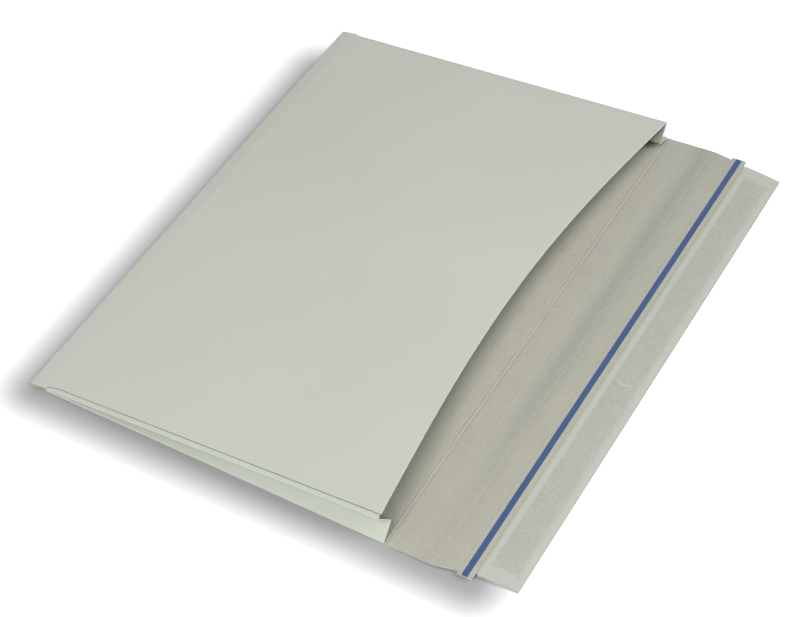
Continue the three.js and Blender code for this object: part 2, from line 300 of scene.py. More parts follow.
def new_group(name, inputs, outputs):
    """A node group. An input's kind follows from its default, and None makes a vector."""
    group = bpy.data.node_groups.new(name, "ShaderNodeTree")
    for label, default in inputs.items():
        kind = "Vector" if default is None else "Color" if isinstance(default, tuple) else "Float"
        socket = group.interface.new_socket(
            name=label, in_out="INPUT", socket_type="NodeSocket" + kind
        )
        if default is not None:
            socket.default_value = default
    for label in outputs:
        kind = "Color" if label == "Color" else "Float"
        group.interface.new_socket(name=label, in_out="OUTPUT", socket_type="NodeSocket" + kind)
    given, result = group.nodes.new("NodeGroupInput"), group.nodes.new("NodeGroupOutput")
    return group, given.outputs, result.inputs


def add_noise(tree, vector, scale, detail, roughness=0.5):
    node = tree.nodes.new("ShaderNodeTexNoise")
    feed(tree, vector, node.inputs["Vector"])
    feed(tree, scale, node.inputs["Scale"])
    node.inputs["Detail"].default_value = detail
    node.inputs["Roughness"].default_value = roughness
    return node.outputs["Fac"]


def add_stretch(tree, vector, scale, turn=0.0):
    node = tree.nodes.new("ShaderNodeMapping")
    node.inputs["Scale"].default_value = scale
    node.inputs["Rotation"].default_value = (0.0, 0.0, turn)
    tree.links.new(vector, node.inputs["Vector"])
    return node.outputs["Vector"]


def add_range(tree, value, low, high, to_low=0.0, to_high=1.0, blend="LINEAR"):
    node = tree.nodes.new("ShaderNodeMapRange")
    node.interpolation_type = blend
    node.inputs["From Min"].default_value = low
    node.inputs["From Max"].default_value = high
    node.inputs["To Min"].default_value = to_low
    node.inputs["To Max"].default_value = to_high
    tree.links.new(value, node.inputs["Value"])
    return node.outputs["Result"]


def add_maths(tree, operation, first, second):
    node = tree.nodes.new("ShaderNodeMath")
    node.operation = operation
    feed(tree, first, node.inputs[0])
    feed(tree, second, node.inputs[1])
    return node.outputs["Value"]


def times(tree, first, second):
    return add_maths(tree, "MULTIPLY", first, second)


def add_mix(tree, share, first, second):
    node = tree.nodes.new("ShaderNodeMix")
    node.data_type = "RGBA"
    for name, value in (("Factor", share), ("A", first), ("B", second)):
        feed(tree, value, next(s for s in node.inputs if s.name == name and s.enabled))
    return next(s for s in node.outputs if s.enabled)


def split(tree, vector):
    """The X, Y and Z of a vector, by name."""
    node = tree.nodes.new("ShaderNodeSeparateXYZ")
    tree.links.new(vector, node.inputs["Vector"])
    return node.outputs


def build_fibre_group():
    """Paper fibres: fine crossed streaks and specks, with the height that they stand."""
    group, given, result = new_group(
        "Paper fibres",
        {"Vector": None, "Base": GREY, "Fibre": GREY, "Fibre Amount": 0.3, "Speck Amount": 0.2},
        ("Color", "Height"),
    )
    vector = given["Vector"]
    fibres = 0.0
    for turn, stretch in STREAKS:
        noise = add_noise(group, add_stretch(group, vector, stretch, turn), 1.0, 3.0, 0.6)
        fibres = add_maths(group, "MAXIMUM", add_range(group, noise, 0.52, 0.72), fibres)
    dots = add_range(group, add_noise(group, vector, SPECK_SCALE, 2.0, 0.7), 0.66, 0.74)
    fibre_share = times(group, fibres, given["Fibre Amount"])
    amount = add_maths(group, "ADD", fibre_share, times(group, dots, given["Speck Amount"]))
    group.links.new(add_mix(group, amount, given["Base"], given["Fibre"]), result["Color"])
    grain = add_noise(group, vector, GRAIN_SCALE, 3.0, 0.6)
    height = add_maths(group, "ADD", grain, times(group, fibres, 0.5))
    group.links.new(height, result["Height"])


def build_cloud_group():
    """Broad, faint clouds, as in a coating or a pulp that isn't quite even."""
    group, given, result = new_group(
        "Soft clouds",
        {"Vector": None, "Light": GREY, "Dark": GREY, "Scale": 14.0},
        ("Color", "Mask"),
    )
    broad = add_noise(group, given["Vector"], given["Scale"], 4.0, 0.55)
    mask = add_range(group, broad, 0.35, 0.65)
    group.links.new(add_mix(group, mask, given["Light"], given["Dark"]), result["Color"])
    group.links.new(mask, result["Mask"])


def build_crease_group():
    """A pressed crease across the board: a worn pale line, and a dark line of painted shade in its
    groove.
    """
    group, given, result = new_group(
        "Crease wear and shade",
        {"Vector": None, "Base": GREY, "Worn": GREY, **dict.fromkeys(CREASE_INPUTS, 0.0)},
        ("Color",),
    )
    spots = split(group, given["Vector"])
    patches = add_noise(group, given["Vector"], WEAR_SCALE, 3.0, 0.6)
    patchy = add_range(group, patches, 0.38, 0.60, 0.3, 1.0)
    along = add_range(group, spots["Y"], NEAR_SIDE, NEAR_SIDE + CREASE_FADE)
    kept = add_maths(group, "MAXIMUM", along, given["Near Amount"])
    even = add_maths(group, "MAXIMUM", patchy, given["Evenness"])
    wear = times(group, even, kept)

    def line(place, amount, strength):
        offset = add_maths(group, "SUBTRACT", spots["X"], given[place])
        away = add_maths(group, "ABSOLUTE", offset, 0.0)
        ratio = add_maths(group, "DIVIDE", away, given["Width"])
        mask = add_range(group, ratio, *LINE_FADE, 0.0, strength)
        return times(group, mask, times(group, wear, given[amount]))

    pale = line("Pale Place", "Pale Amount", 1.0)
    # Painted shade: the dark line in the crease's groove.
    dark = line("Dark Place", "Dark Amount", GROOVE_SHADE_STRENGTH)
    colour = add_mix(group, dark, given["Base"], GROOVE_SHADE_COLOUR)
    group.links.new(add_mix(group, pale, colour, given["Worn"]), result["Color"])


def build_seal_group():
    """Hot-melt glue in a band: how thick it lies, and how far it covers, with ragged edges."""
    group, given, result = new_group(
        "Seal mottle", {"Vector": None}, ("Cover", "Thickness", "Height")
    )
    vector = given["Vector"]
    spots = split(group, vector)
    cover = 1.0
    for axis, start, end in (
        ("X", ADHESIVE_LOW.x - 2.7 * MM, ADHESIVE_LOW.x - 0.9 * MM),
        ("X", ADHESIVE_HIGH.x + 1.8 * MM, ADHESIVE_HIGH.x - 2.2 * MM),
        ("Y", ADHESIVE_LOW.y - 2 * MM, ADHESIVE_LOW.y + 2 * MM),
        ("Y", ADHESIVE_HIGH.y + 2 * MM, ADHESIVE_HIGH.y - 2 * MM),
    ):
        cover = add_maths(group, "MINIMUM", add_range(group, spots[axis], start, end), cover)
    ragged = add_noise(group, vector, RAGGED_SCALE, 3.0, 0.6)
    edge = add_maths(group, "ADD", cover, add_range(group, ragged, 0.35, 0.65, -0.3, 0.15))
    patches = add_noise(group, vector, GLUE_PATCH_SCALE, 4.0, 0.8)
    broad = add_noise(group, vector, GLUE_BROAD_SCALE, 2.0, 0.5)
    fine = add_range(group, patches, 0.40, 0.60, 0.0, 0.85)
    thickness = add_maths(group, "ADD", fine, add_range(group, broad, 0.40, 0.62, 0.0, 0.22))
    group.links.new(add_range(group, edge, 0.0, 0.7), result["Cover"])
    group.links.new(add_maths(group, "MINIMUM", thickness, 1.0), result["Thickness"])
    group.links.new(times(group, patches, cover), result["Height"])


# Materials

def start_material(name, roughness, specular=0.3):
    material = bpy.data.materials.new(name)
    material.use_nodes = True
    tree = material.node_tree
    shader = tree.nodes["Principled BSDF"]
    shader.inputs["Roughness"].default_value = roughness
    shader.inputs["Specular IOR Level"].default_value = specular
    return tree, shader, tree.nodes.new("ShaderNodeTexCoord").outputs["Object"]


def use_group(tree, name, values):
    node = tree.nodes.new("ShaderNodeGroup")
    node.node_tree = bpy.data.node_groups[name]
    for label, value in values.items():
        feed(tree, value, node.inputs[label])
    return node.outputs


def add_bump(tree, shader, height, strength, distance):
    bump = tree.nodes.new("ShaderNodeBump")
    bump.inputs["Strength"].default_value = strength
    bump.inputs["Distance"].default_value = distance
    tree.links.new(height, bump.inputs["Height"])
    tree.links.new(bump.outputs["Normal"], shader.inputs["Normal"])


def board_material(name, light, cloud_shade, fibre, surface, worn=None, creases=()):
    """A face of board: clouds under fibres, worn creases, and roughness that follows the clouds."""
    cloud_scale, fibres, specks, roughness, bump = surface
    tree, shader, place = start_material(name, roughness[0])
    dark = linear(tuple(c * cloud_shade for c in light))
    clouds = use_group(
        tree,
        "Soft clouds",
        {"Vector": place, "Light": linear(light), "Dark": dark, "Scale": cloud_scale},
    )
    paper = use_group(
        tree,
        "Paper fibres",
        {
            "Vector": place,
            "Base": clouds["Color"],
            "Fibre": linear(fibre),
            "Fibre Amount": fibres,
            "Speck Amount": specks,
        },
    )
    colour = paper["Color"]
    for crease in creases:
        values = {"Vector": place, "Base": colour, "Worn": linear(worn)}
        values.update(zip(CREASE_INPUTS, crease))
        colour = use_group(tree, "Crease wear and shade", values)["Color"]
    tree.links.new(colour, shader.inputs["Base Color"])
    gloss = add_range(tree, clouds["Mask"], 0.0, 1.0, *roughness)
    tree.links.new(gloss, shader.inputs["Roughness"])
    add_bump(tree, shader, paper["Height"], strength=bump, distance=0.05 * MM)


def build_board_materials(look):
    # Each crease mark: a worn pale line, and a dark line of painted shade in or beside the groove.
    front_creases = [(FRONT_CREASE, FRONT_CREASE - 0.7 * MM, 0.55 * MM, 0.75, 0.35, 0.0, 0.0)]
    ridge = MOUTH_CREASE - DOUBLE_SCORE_GAP / 2
    inner_creases = [
        (ridge, MOUTH_CREASE - DOUBLE_SCORE_GAP, 0.55 * MM, 0.38, 0.7, 1.0, 0.2),
        (ridge, MOUTH_CREASE, 0.55 * MM, 0.0, 0.7, 1.0, 0.2),
        (MIDDLE_SCORE, MIDDLE_SCORE - 0.5 * MM, 0.55 * MM, 0.42, 0.5, 0.6, 0.0),
        (FLAP_CREASE, FLAP_CREASE - 0.5 * MM, 0.55 * MM, 0.42, 0.5, 0.6, 0.0),
        # Painted shade: two broad, soft dark bands over the wall between the middle score and the
        # flap crease, with no pale line.
        (FLAP_CREASE, FLAP_CREASE - 4 * MM, 12 * MM, 0.0, 0.30, 0.3, 1.0),
        (FLAP_CREASE, FLAP_CREASE - 5 * MM, 5.8 * MM, 0.0, 0.22, 0.3, 1.0),
    ]
    # Each surface: cloud scale, fibres, specks, roughness and bump
    coated = (7.0, 0.10, 0.05, (0.55, 0.66), 0.25)
    bare = (26.0, 0.40, 0.55, (0.78, 0.88), 0.6)
    cut = (300.0, 0.25, 0.2, (0.85, 0.95), 0.7)
    seam = (120.0, 0.3, 0.2, (0.85, 0.95), 0.5)
    pale_fibre = tuple(c * 0.93 for c in look.outside)
    shaded = tuple(c * GUSSET_SHADE for c in look.inside)
    dark = look.inside_dark
    for row in (
        ("coated_board", look.outside, 0.985, pale_fibre, coated, look.front_crease, front_creases),
        ("bare_board", look.inside, 0.985, dark, bare, look.crease, inner_creases),
        # Painted shade: the gussets' inner side, darker as shade inside the pocket.
        ("shaded_board", shaded, 0.985, dark, bare),
        ("cut_edge", look.edge, 0.92, dark, cut),
        # The mouth's cut edges: partly wear, partly painted highlight.
        ("mouth_edge", look.mouth_edge, 0.92, dark, cut),
        # Painted shade along the front panel's glued side seams.
        ("seam_painted_shade", look.seam, 0.9, dark, seam),
    ):
        board_material(*row)


def build_tape_material(look):
    """Blue plastic tape, with faint lengthwise draw lines."""
    tree, shader, place = start_material("blue_tape", 0.38, 0.5)
    lines = add_noise(tree, add_stretch(tree, place, TAPE_DRAW_SCALE), 1.0, 2.0)
    shade = add_range(tree, lines, 0.3, 0.7)
    darker = linear(tuple(c * 0.90 for c in look.tape))
    tree.links.new(add_mix(tree, shade, linear(look.tape), darker), shader.inputs["Base Color"])
    add_bump(tree, shader, shade, strength=0.25, distance=0.02 * MM)


def build_adhesive_material(look):
    """Hot-melt glue, uneven in thickness and ragged at its edges."""
    tree, shader, place = start_material("seal_glue", 0.45, 0.5)
    seal = use_group(tree, "Seal mottle", {"Vector": place})
    lighter = linear(tuple(c * 1.20 for c in look.adhesive))
    colour = add_mix(tree, seal["Thickness"], lighter, linear(look.adhesive))
    tree.links.new(colour, shader.inputs["Base Color"])
    tree.links.new(seal["Cover"], shader.inputs["Alpha"])
    add_bump(tree, shader, seal["Thickness"], strength=0.4, distance=0.1 * MM)


def add_wrinkle(tree, spots):
    """Mask of a short bowed wrinkle across the liner."""
    offset = add_maths(tree, "SUBTRACT", spots["X"], WRINKLE_PLACE.x)
    aside = add_maths(tree, "ABSOLUTE", offset, 0.0)
    ahead = add_maths(tree, "SUBTRACT", spots["Y"], WRINKLE_PLACE.y)
    bowed = add_maths(tree, "SUBTRACT", ahead, times(tree, aside, WRINKLE_BOW))
    away = add_maths(tree, "ABSOLUTE", bowed, 0.0)
    line = add_range(tree, away, 1.1 * MM, 0.3 * MM)
    return times(tree, line, add_range(tree, aside, WRINKLE_HALF, WRINKLE_HALF / 2))


def build_liner_material(look):
    """Thin silicone paper with a turned-in inner edge; the mottled glue shows through it."""
    tree, shader, place = start_material("liner_paper", 0.36, 0.45)
    spots = split(tree, place)
    seal = use_group(tree, "Seal mottle", {"Vector": place})
    dark, turned_edge = linear(look.seal_dark), linear(look.liner_edge)
    through = add_mix(tree, seal["Thickness"], linear(look.seal_light), dark)
    colour = add_mix(tree, seal["Cover"], linear(look.liner), through)
    end = LINER_LOW.x + LINER_TURN
    turned = add_range(tree, spots["X"], end + 0.3 * MM, end - 0.3 * MM)
    colour = add_mix(tree, turned, colour, turned_edge)
    wrinkle = add_wrinkle(tree, spots)
    colour = add_mix(tree, wrinkle, colour, turned_edge)
    fine = add_noise(tree, place, LINER_GRAIN_SCALE, 3.0, 0.7)
    speckle = add_range(tree, fine, 0.42, 0.62, 0.0, 0.10)
    tree.links.new(add_mix(tree, speckle, colour, dark), shader.inputs["Base Color"])
    gloss = add_range(tree, seal["Cover"], 0.0, 1.0, 0.42, 0.34)
    tree.links.new(gloss, shader.inputs["Roughness"])
    height = add_maths(tree, "ADD", fine, times(tree, seal["Height"], 2.0))
    height = add_maths(tree, "ADD", height, times(tree, wrinkle, 9.0))
    add_bump(tree, shader, height, strength=0.35, distance=0.04 * MM)


def build_materials():
    look = colours()
    build_fibre_group()
    build_cloud_group()
    build_crease_group()
    build_seal_group()
    build_board_materials(look)
    build_tape_material(look)
    build_adhesive_material(look)
    build_liner_material(look)


# Mesh helpers

def deselect():
    bpy.ops.object.select_all(action="DESELECT")


def make_active(piece):
    deselect()
    piece.select_set(True)
    bpy.context.view_layer.objects.active = piece


def edit_all(piece, change):
    """Runs a change on a piece's whole mesh in edit mode."""
    make_active(piece)
    bpy.ops.object.mode_set(mode="EDIT")
    bpy.ops.mesh.select_all(action="SELECT")
    change()
    bpy.ops.object.mode_set(mode="OBJECT")


def give_materials(piece, names):
    for name in names:
        piece.data.materials.append(bpy.data.materials[name])


def start_grid(name, rows, columns):
    """A grid of rows by columns faces, one unit across, with its corner at the origin."""
    bpy.ops.mesh.primitive_grid_add(
        x_subdivisions=rows, y_subdivisions=columns, size=1, location=(0.5, 0.5, 0)
    )
    piece = bpy.context.object
    piece.name = name
    bpy.ops.object.transform_apply(location=True, rotation=False, scale=False)
    return piece


def shape_grid(piece, rows, columns, place):
    """Moves each vertex to place(row, column)."""
    for vertex in piece.data.vertices:
        row = round(vertex.co.x * rows)
        column = round(vertex.co.y * columns)
        vertex.co = place(row, column)
    piece.data.update()


def start_plane(name, low, high):
    """A flat plane between two corners, with its place in its mesh."""
    bpy.ops.mesh.primitive_plane_add(size=1, location=(low + high) / 2)
    piece = bpy.context.object
    piece.name = name
    piece.scale = (high.x - low.x, high.y - low.y, 1)
    bpy.ops.object.transform_apply(location=True, rotation=False, scale=True)
    return piece


def cut_across(piece, places, normal):
    """Cuts the piece with a line at each place along its normal."""
    make_active(piece)
    bpy.ops.object.mode_set(mode="EDIT")
    for place in places:
        bpy.ops.mesh.select_all(action="SELECT")
        bpy.ops.mesh.bisect(plane_co=normal * place, plane_no=normal)
    bpy.ops.object.mode_set(mode="OBJECT")


def finish_sheet(piece, thickness, has_backing=False):
    """Gives a bent sheet or a film its thickness, keeps it on the table, and shades it."""
    make_active(piece)
    solid = piece.modifiers.new("thickness", "SOLIDIFY")
    solid.thickness = thickness
    solid.offset = 0 if has_backing else -1
    solid.use_even_offset = has_backing
    if has_backing:
        solid.material_offset = BACKING
        solid.material_offset_rim = CUT
    bpy.ops.object.modifier_apply(modifier=solid.name)
    for vertex in piece.data.vertices:
        vertex.co.z = max(vertex.co.z, 0)
    edit_all(piece, lambda: bpy.ops.mesh.remove_doubles(threshold=WELD))
    bpy.ops.object.shade_smooth_by_angle(angle=SMOOTH_ANGLE)


def join_pieces(pieces, name):
    deselect()
    for piece in pieces:
        piece.select_set(True)
    bpy.context.view_layer.objects.active = pieces[0]
    bpy.ops.object.join()
    pieces[0].name = name
    return pieces[0]


# Form of the pocket

def tight_radius():
    return (sizes().board + LAYER_GAP) / 2


def stack_middle():
    """Height of the front panel's middle where the gussets start, over five flat layers."""
    return sizes().board / 2 + 6 * tight_radius() + sizes().board - GLUE_BITE


def panel_slope(across):
    size = sizes()
    height = mix(size.mouth_near, size.mouth_far, across)
    return (height - size.board / 2 - stack_middle()) / (POCKET_END - GUSSET_START)


def panel_middle(x, across):
    """Height of the front panel's middle surface, with the slight sway of the real board."""
    share = max(0.0, (x - GUSSET_START) / (POCKET_END - GUSSET_START))
    sway = -sizes().panel_sway * math.sin(2 * math.pi * across) * share * share
    return stack_middle() + (x - GUSSET_START) * panel_slope(across) + sway


def mouth_edge(across):
    size = sizes()
    return POCKET_END - size.mouth_setback - size.mouth_curve * math.sin(math.pi * across)


def back_rows():
    """Stations of the back panel from the mouth to the closed edge: place, inset and groove."""
    inset = tight_radius() + sizes().board / 2
    depth = sizes().score_depth
    inner = MOUTH_CREASE - DOUBLE_SCORE_GAP
    rows = [
        (MOUTH_CREASE - HALF_SCORE, 0, 0),
        (POCKET_END + SLIT, 0, 0),
        (POCKET_END, inset, 0),
        (inner + HALF_SCORE, inset, 0),
        (inner + HALF_SCORE / 2, inset, depth * SCORE_SHOULDER),
        (inner, inset, depth),
        (inner - HALF_SCORE / 2, inset, depth * SCORE_SHOULDER),
        (inner - HALF_SCORE, inset, 0),
    ]
    beside = inner - HALF_SCORE * SCORE_SUPPORT
    rows += [(mix(beside, GUSSET_START, step / BACK_STEPS), inset, 0) for step in range(BACK_STEPS)]
    rows.append((GUSSET_START, inset, 0))
    return rows + [(GUSSET_START - SLIT, 0, 0), (CLOSED_EDGE + CLOSED_FOLD_LEAD, 0, 0)]


def front_rows():
    """Stations of the front panel from its crease to the mouth: place along x, inset and groove."""
    size = sizes()
    corner_end = GUSSET_START + CORNER_LENGTH
    rows = [
        (lambda across: FRONT_START, 0, 0),
        (lambda across: FRONT_CREASE - HALF_SCORE, 0, 0),
        (lambda across: FRONT_CREASE, 0, size.score_depth * FRONT_SCORE_SHARE),
        (lambda across: FRONT_CREASE + HALF_SCORE, 0, 0),
    ]
    for step in range(CORNER_STEPS + 1):
        turn = math.pi / 2 * step / CORNER_STEPS
        x = corner_end - CORNER_LENGTH * math.cos(turn)
        rows.append((lambda across, x=x: x, size.panel_inset * math.sin(turn), 0))
    for step in range(1, PANEL_ROWS):
        place = lambda across, share=step / PANEL_ROWS: mix(corner_end, mouth_edge(across), share)
        rows.append((place, size.panel_inset, 0))
    rows.append((lambda across: mouth_edge(across) - MOUTH_LINE, size.panel_inset, 0))
    rows.append((mouth_edge, size.panel_inset, 0))
    return rows


def closed_fold(across):
    """Centre of the closed edge's bend and the lean of the strip that leaves it."""
    half = sizes().board / 2
    centre = Vector((CLOSED_EDGE + CLOSED_FOLD_RADIUS + half, half + CLOSED_FOLD_RADIUS))
    reach = Vector((FRONT_START, panel_middle(FRONT_START, across))) - centre
    lean = math.atan2(reach.y, reach.x) - math.asin(CLOSED_FOLD_RADIUS / reach.length)
    return centre, lean


def build_wrap():
    """Back panel, closed edge and front panel, as one bent sheet."""
    back, front = back_rows(), front_rows()
    half = sizes().board / 2
    total = len(back) + FOLD_STEPS + 1 + LEAD_STEPS + len(front)
    piece = start_grid("wrap", total - 1, PANEL_COLUMNS)

    def place(row, column):
        across = column / PANEL_COLUMNS
        inset = 0.0
        fold = row - len(back)
        lead = fold - FOLD_STEPS
        if fold < 0:
            x, inset, groove = back[row]
            z = half - groove
        elif lead <= LEAD_STEPS:
            centre, lean = closed_fold(across)
            turn = -math.pi / 2 - min(1.0, fold / FOLD_STEPS) * (math.pi - lean)
            x = centre.x + CLOSED_FOLD_RADIUS * math.cos(turn)
            z = centre.y + CLOSED_FOLD_RADIUS * math.sin(turn)
            share = max(0, lead) / (LEAD_STEPS + 1)
            x = mix(x, FRONT_START, share)
            z = mix(z, panel_middle(FRONT_START, across), share)
        else:
            along, inset, groove = front[lead - LEAD_STEPS - 1]
            x = along(across)
            z = panel_middle(x, across) - groove * min(1.0, across * WIDTH / CREASE_FADE)
        return Vector((x, NEAR_SIDE + mix(inset, WIDTH - inset, across), z))

    shape_grid(piece, total - 1, PANEL_COLUMNS, place)
    give_materials(piece, ["coated_board", "bare_board", "cut_edge", "seam_painted_shade", "mouth_edge"])
    finish_sheet(piece, sizes().board, has_backing=True)
    mark_panel_edges(piece)
    return piece


def mark_panel_edges(piece):
    """Gives the front panel's side edges the painted shade of their seams, and its mouth edge a
    pale line that is partly wear and partly painted highlight.
    """
    side_reach = sizes().panel_inset + 0.1 * MM
    lowest = stack_middle() - sizes().board
    for face in piece.data.polygons:
        middle, normal = face.center, face.normal
        if middle.z <= lowest:
            continue
        reach = min(middle.y - NEAR_SIDE, NEAR_SIDE + WIDTH - middle.y)
        # Painted shade on the side edges of the front panel, where they meet the gusset flanges.
        if abs(normal.y) > SEAM_FACING and reach < side_reach and middle.x > GUSSET_START:
            face.material_index = SEAM_SHADE
        end = mouth_edge((middle.y - NEAR_SIDE) / WIDTH)
        # Pale mouth edge: partly worn fibres, partly painted highlight.
        if middle.x > end - MOUTH_LINE and max(normal.x, normal.z) > MOUTH_FACING:
            face.material_index = MOUTH


def gusset_line(station, side):
    """Middle line of a gusset's section: x, distance inwards from the side, and height."""
    size = sizes()
    radius = tight_radius()
    inset = radius + size.board / 2
    share = (station - GUSSET_START) / (POCKET_END - GUSSET_START)
    across_at = (lambda q: q / WIDTH) if side == "near" else (lambda q: 1 - q / WIDTH)
    top = size.mouth_near if side == "near" else size.mouth_far
    pull = size.mouth_setback / top
    drop = size.board - GLUE_BITE
    flange_height = panel_middle(station - size.mouth_setback * share, across_at(inset)) - drop
    straight = size.gusset_half - 2 * radius - size.board
    rise = flange_height - size.board / 2
    reach = math.hypot(2 * straight, 4 * radius)
    tilt = math.asin((rise - 2 * radius) / reach) - math.atan2(4 * radius, 2 * straight)
    quarter = math.pi / 2
    bottom_z = size.board / 2 + radius
    inner_q = inset + straight * math.cos(tilt) - 2 * radius * math.sin(tilt)
    inner_z = bottom_z + straight * math.sin(tilt) + 2 * radius * math.cos(tilt)
    top_z = 2 * inner_z - bottom_z
    bends = [
        (inset, bottom_z, -quarter, -3 * quarter + tilt),
        (inner_q, inner_z, tilt - quarter, quarter - tilt),
        (inset, top_z, 3 * quarter - tilt, quarter),
    ]

    def gusset_x(q, z):
        """The inner fold stands a little forward of the two outer ones."""
        return station - pull * z + size.fold_forward * share * max(0.0, q - inset) / straight

    line = [(station, inset + ROOT_LENGTH, size.board / 2)]
    for centre_q, centre_z, start, stop in bends:
        arc = []
        for step in range(GUSSET_FOLD_STEPS + 1):
            turn = mix(start, stop, step / GUSSET_FOLD_STEPS)
            arc.append((centre_q + radius * math.cos(turn), centre_z + radius * math.sin(turn)))
        if len(line) > 1:
            last_q, last_z = line[-1][1:]
            for step in range(1, GUSSET_HALF_STEPS):
                q = mix(last_q, arc[0][0], step / GUSSET_HALF_STEPS)
                z = mix(last_z, arc[0][1], step / GUSSET_HALF_STEPS)
                line.append((gusset_x(q, z), q, z))
        line += [(gusset_x(q, z), q, z) for q, z in arc]
    flange_station = mix(GUSSET_START + FLANGE_CHAMFER, POCKET_END - FLANGE_CHAMFER, share)
    start_x, start_q, _ = line[-1]
    for step in range(1, FLANGE_STEPS + 1):
        part = step / FLANGE_STEPS
        x = mix(start_x, flange_station - size.mouth_setback * share, part)
        q = mix(start_q, inset + FLANGE_WIDTH, part)
        line.append((x, q, panel_middle(x, across_at(q)) - drop))
    return line


def build_gusset(side):
    """One folding side gusset, from its root in the back panel to its glue flange."""
    shares = [row / GUSSET_ROWS for row in range(GUSSET_ROWS + 1)]
    lines = [gusset_line(mix(GUSSET_START, POCKET_END, share), side) for share in shares]
    columns = len(lines[0]) - 1
    piece = start_grid("gusset_" + side, GUSSET_ROWS, columns)

    def place(row, column):
        x, q, z = lines[row][column]
        y = q if side == "near" else WIDTH - q
        return Vector((x, NEAR_SIDE + y, z))

    shape_grid(piece, GUSSET_ROWS, columns, place)
    if side == "far":
        edit_all(piece, lambda: bpy.ops.mesh.flip_normals())
    # The gussets' inner side takes painted shade, and their cut edges take the mouth edge's colour,
    # partly wear and partly painted highlight.
    give_materials(piece, ["coated_board", "shaded_board", "mouth_edge"])
    finish_sheet(piece, sizes().board, has_backing=True)
    return piece


# Form of the wall and the flap

def underside(x):
    """Height of the underside of the wall and the flap above the table."""
    size = sizes()
    if x <= MOUTH_CREASE:
        return 0.0
    if x <= FLAP_CREASE:
        return size.wall_rise * (x - MOUTH_CREASE) / (FLAP_CREASE - MOUTH_CREASE)
    if x <= TEAR_MIDDLE:
        left = (TEAR_MIDDLE - x) / (TEAR_MIDDLE - FLAP_CREASE)
        return mix(size.flap_crest, size.wall_rise, left * left)
    gone = (x - TEAR_MIDDLE) / (FLAP_END - TEAR_MIDDLE)
    return size.flap_crest * (1 - gone * gone)


def score_cuts(x):
    """Cuts over a score's groove, with one on each side that keeps the board beside it flat."""
    return [x + SCORE_WIDTH * share for share in SCORE_CUTS]


def finish_strip(piece):
    """Drops a strip's outline to its underside, and gives its faces their materials."""
    give_materials(piece, ["bare_board", "coated_board", "cut_edge"])
    drop = {"value": (0, 0, -sizes().board)}
    edit_all(piece, lambda: bpy.ops.mesh.extrude_region_move(TRANSFORM_OT_translate=drop))
    for vertex in piece.data.vertices:
        if vertex.select:
            vertex.co.z = underside(vertex.co.x)
    edit_all(piece, lambda: bpy.ops.mesh.normals_make_consistent(inside=False))
    for face in piece.data.polygons:
        up = face.normal.z
        face.material_index = FACE if up > FLAT_FACING else BACKING if up < -FLAT_FACING else CUT
    bpy.ops.object.shade_smooth_by_angle(angle=SMOOTH_ANGLE)


def groove_at(x, grooves):
    """Depth of the grooves at a place: round-bottomed channels, given as place, width and depth."""
    depth = 0.0
    for centre, width, deep in grooves:
        away = abs(x - centre) / (width / 2)
        if away < 1:
            depth = max(depth, deep * math.cos(away * math.pi / 2))
    return depth


def build_strip(name, low_x, high_x, cuts, grooves, columns=STRIP_COLUMNS):
    """A strip of the blank across the whole width, its face side up, on the underside's height."""
    low, high = Vector((low_x, NEAR_SIDE, 0)), Vector((high_x, NEAR_SIDE + WIDTH, 0))
    piece = start_plane(name, low, high)
    inside = sorted(cut for cut in set(cuts) if low_x + TOUCH < cut < high_x - TOUCH)
    cut_across(piece, inside, Vector((1, 0, 0)))
    lines = [NEAR_SIDE + WIDTH * step / columns for step in range(1, columns)]
    cut_across(piece, lines, Vector((0, 1, 0)))
    for vertex in piece.data.vertices:
        x = vertex.co.x
        vertex.co.z = underside(x) + sizes().board - groove_at(x, grooves)
    piece.data.update()
    return piece


def draw_in(piece, inset_at):
    """Moves the sides of a strip in from the pocket's width by inset_at(x)."""
    for vertex in piece.data.vertices:
        inset = inset_at(vertex.co.x)
        across = (vertex.co.y - NEAR_SIDE) / WIDTH
        vertex.co.y = NEAR_SIDE + mix(inset, WIDTH - inset, across)
    piece.data.update()


def flap_inset(x):
    """How far the flap's sides stand inside the pocket's width."""
    notch_end = TEAR_OUTER + NOTCH_REACH
    if x <= TEAR_INNER:
        return FLAP_TAPER * max(0.0, x - FLAP_CREASE) / (TEAR_INNER - FLAP_CREASE)
    if x <= TEAR_OUTER:
        return FLAP_TAPER
    if x <= notch_end:
        return mix(FLAP_TAPER, NOTCH_INSET, (x - TEAR_OUTER) / NOTCH_REACH)
    if x <= LINER_LOW.x:
        share = (x - notch_end) / (LINER_LOW.x - notch_end)
        return mix(NOTCH_INSET, SEAL_INSET_INNER, share)
    return mix(SEAL_INSET_INNER, SEAL_INSET_OUTER, (x - LINER_LOW.x) / (FLAP_END - LINER_LOW.x))


def draw_out_tabs(piece):
    """Draws the tear tabs out of the flap's two sides."""
    reach = FLAP_TAPER - TAB_INSET
    for side_y, move in ((NEAR_SIDE + FLAP_TAPER, -reach), (NEAR_SIDE + WIDTH - FLAP_TAPER, reach)):
        make_active(piece)
        bpy.ops.object.mode_set(mode="EDIT")
        bpy.ops.mesh.select_all(action="DESELECT")
        bpy.ops.object.mode_set(mode="OBJECT")
        for edge in piece.data.edges:
            ends = [piece.data.vertices[i].co for i in edge.vertices]
            edge.select = all(
                abs(end.y - side_y) < TOUCH and TEAR_INNER - TOUCH < end.x < TEAR_OUTER + TOUCH
                for end in ends
            )
        bpy.ops.object.mode_set(mode="EDIT")
        bpy.ops.mesh.select_mode(type="EDGE")
        bpy.ops.mesh.extrude_region_move(TRANSFORM_OT_translate={"value": (0, move, 0)})
        bpy.ops.mesh.select_mode(type="VERT")
        bpy.ops.object.mode_set(mode="OBJECT")


